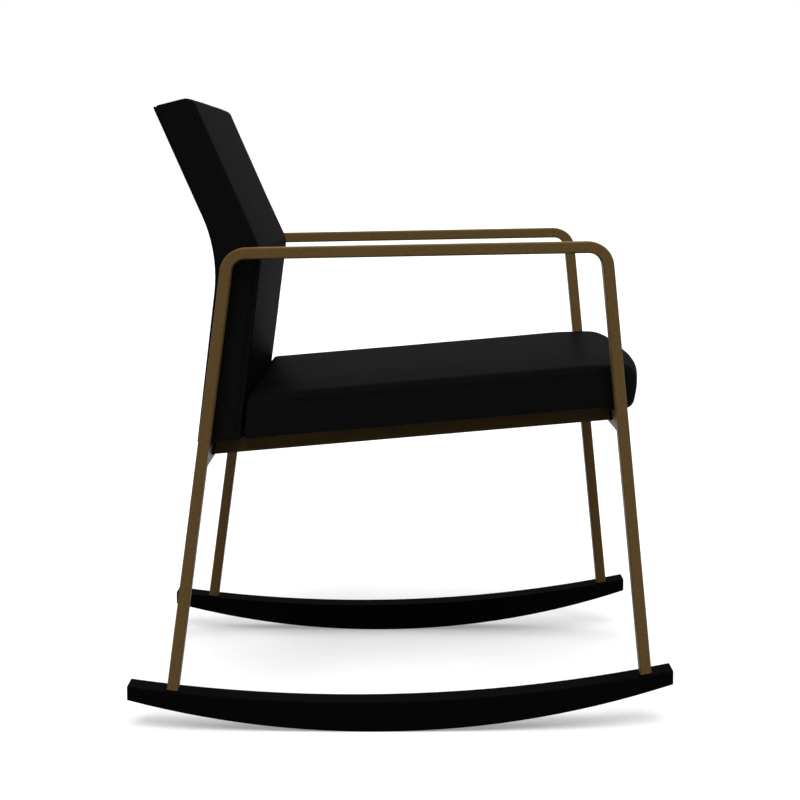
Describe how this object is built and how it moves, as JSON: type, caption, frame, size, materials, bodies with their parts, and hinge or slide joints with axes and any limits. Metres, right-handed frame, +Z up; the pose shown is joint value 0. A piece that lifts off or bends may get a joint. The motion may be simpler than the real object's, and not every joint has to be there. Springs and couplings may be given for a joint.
{
  "type": "rocking chair",
  "caption": "Low lounge rocking chair with bent tube arms, crescent runners and an upholstered seat and angled back.",
  "frame": {"origin": "on the floor, at the middle of the runners' length and of the chair's width", "axes": "+Z up, the chair faces -Y, +X towards the sitter's left side"},
  "size_m": [0.6202, 0.7, 0.8088],
  "materials": {
    "bronze_tube": "bronze powder coat, satin",
    "runner_wood": "black lacquer on solid wood, satin",
    "upholstery": "black coated cloth, smooth, low sheen, over foam",
    "black_plastic": "moulded, matt",
    "zinc_steel": "zinc plated",
    "plywood": "raw birch plywood",
    "black_lining": "thin woven dust cloth"
  },
  "bodies": {
    "root": {"back_core": "plywood", "back_cushion": "upholstery", "back_rear_panel": "upholstery", "back_spacer_left": "black_plastic", "back_spacer_right": "black_plastic", "back_strap_left": "bronze_tube", "back_strap_right": "bronze_tube", "back_stud_left": "zinc_steel", "back_stud_right": "zinc_steel", "cross_rail_front": "bronze_tube", "cross_rail_rear": "bronze_tube", "leg_insert_front_left": "zinc_steel", "leg_insert_front_right": "zinc_steel", "leg_insert_rear_left": "zinc_steel", "leg_insert_rear_right": "zinc_steel", "rail_bolt_front_left": "zinc_steel", "rail_bolt_front_right": "zinc_steel", "rail_bolt_rear_left": "zinc_steel", "rail_bolt_rear_right": "zinc_steel", "rail_plug_front_left": "black_plastic", "rail_plug_front_right": "black_plastic", "rail_plug_rear_left": "black_plastic", "rail_plug_rear_right": "black_plastic", "runner_bolt_front_left": "zinc_steel", "runner_bolt_front_right": "zinc_steel", "runner_bolt_rear_left": "zinc_steel", "runner_bolt_rear_right": "zinc_steel", "runner_left": "runner_wood", "runner_right": "runner_wood", "seat_board": "plywood", "seat_cushion": "upholstery", "seat_lining": "black_lining", "seat_rail_left": "bronze_tube", "seat_rail_right": "bronze_tube", "seat_screws": "zinc_steel", "side_frame_left": "bronze_tube", "side_frame_right": "bronze_tube", "strap_bolts": "zinc_steel"}
  },
  "joints": []
}
